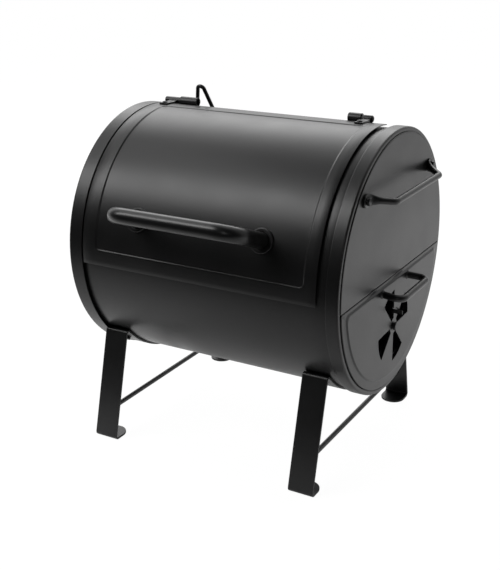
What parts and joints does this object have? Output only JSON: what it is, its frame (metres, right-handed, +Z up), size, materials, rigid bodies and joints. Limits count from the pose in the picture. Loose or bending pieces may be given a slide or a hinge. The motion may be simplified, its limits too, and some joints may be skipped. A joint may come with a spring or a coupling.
{
  "type": "offset smoker",
  "caption": "Table-top barrel charcoal grill or side firebox with a hinged lid, a slide-out ash drawer with a rotary air damper, grates, handles and strap legs.",
  "frame": {"origin": "middle of the part's footprint, on the surface the feet stand on", "axes": "+X along the barrel towards the ash drawer, -Y the front where the lid handle is, +Z up"},
  "size_m": [0.464, 0.4488, 0.5142],
  "materials": {
    "black_paint": "satin black high-temperature paint",
    "handle_paint": "satin, a little smoother than the body",
    "zinc": "blackened fasteners",
    "cast_iron": "matte",
    "bare_steel": "plain dull sheet"
  },
  "bodies": {
    "grill_body": {"barrel_shell": "black_paint", "left_end_cap": "black_paint", "right_end_cap": "black_paint", "left_end_hoop": "black_paint", "right_end_hoop": "black_paint", "left_leg_frame": "black_paint", "right_leg_frame": "black_paint", "left_leg_tie_rod": "black_paint", "right_leg_tie_rod": "black_paint", "left_front_leg_bolt": "zinc", "left_rear_leg_bolt": "zinc", "right_front_leg_bolt": "zinc", "right_rear_leg_bolt": "zinc", "left_front_leg_nut": "zinc", "left_rear_leg_nut": "zinc", "right_front_leg_nut": "zinc", "right_rear_leg_nut": "zinc", "left_hinge_leaf": "black_paint", "right_hinge_leaf": "black_paint", "left_hinge_leaf_rivet": "zinc", "right_hinge_leaf_rivet": "zinc", "lid_stop": "black_paint", "carry_handle": "black_paint", "carry_handle_front_bolt": "zinc", "carry_handle_rear_bolt": "zinc", "carry_handle_front_nut": "zinc", "carry_handle_rear_nut": "zinc", "left_cooking_grate": "cast_iron", "right_cooking_grate": "cast_iron", "front_grate_ledge": "bare_steel", "rear_grate_ledge": "bare_steel", "front_drawer_runner": "bare_steel", "rear_drawer_runner": "bare_steel"},
    "lid": {"lid_shell": "black_paint", "left_lid_hinge_arm": "black_paint", "right_lid_hinge_arm": "black_paint", "left_hinge_arm_screw": "zinc", "right_hinge_arm_screw": "zinc", "lid_handle": "handle_paint", "left_handle_rosette": "handle_paint", "right_handle_rosette": "handle_paint", "left_handle_screw": "zinc", "right_handle_screw": "zinc"},
    "ash_drawer": {"drawer_front": "black_paint", "drawer_handle": "black_paint", "drawer_handle_front_screw": "zinc", "drawer_handle_rear_screw": "zinc", "ash_tray": "bare_steel", "charcoal_grate": "cast_iron"},
    "damper": {"damper_rotor": "black_paint", "damper_bolt": "zinc", "damper_nut": "zinc"}
  },
  "joints": [
    {"name": "lid_hinge", "type": "hinge", "parent": "grill_body", "child": "lid", "pos_m": [-0.01833, 0.06843, 0.4847], "axis": [-1, 0, 0], "range_deg": [0, 95]},
    {"name": "drawer_slide", "type": "slide", "parent": "grill_body", "child": "ash_drawer", "axis": [1, 0, 0], "range_m": [0, 0.3]},
    {"name": "damper_turn", "type": "hinge", "parent": "ash_drawer", "child": "damper", "pos_m": [0.19168, 0.03443, 0.1984], "axis": [-1, 0, 0], "range_deg": [0, 45]}
  ]
}
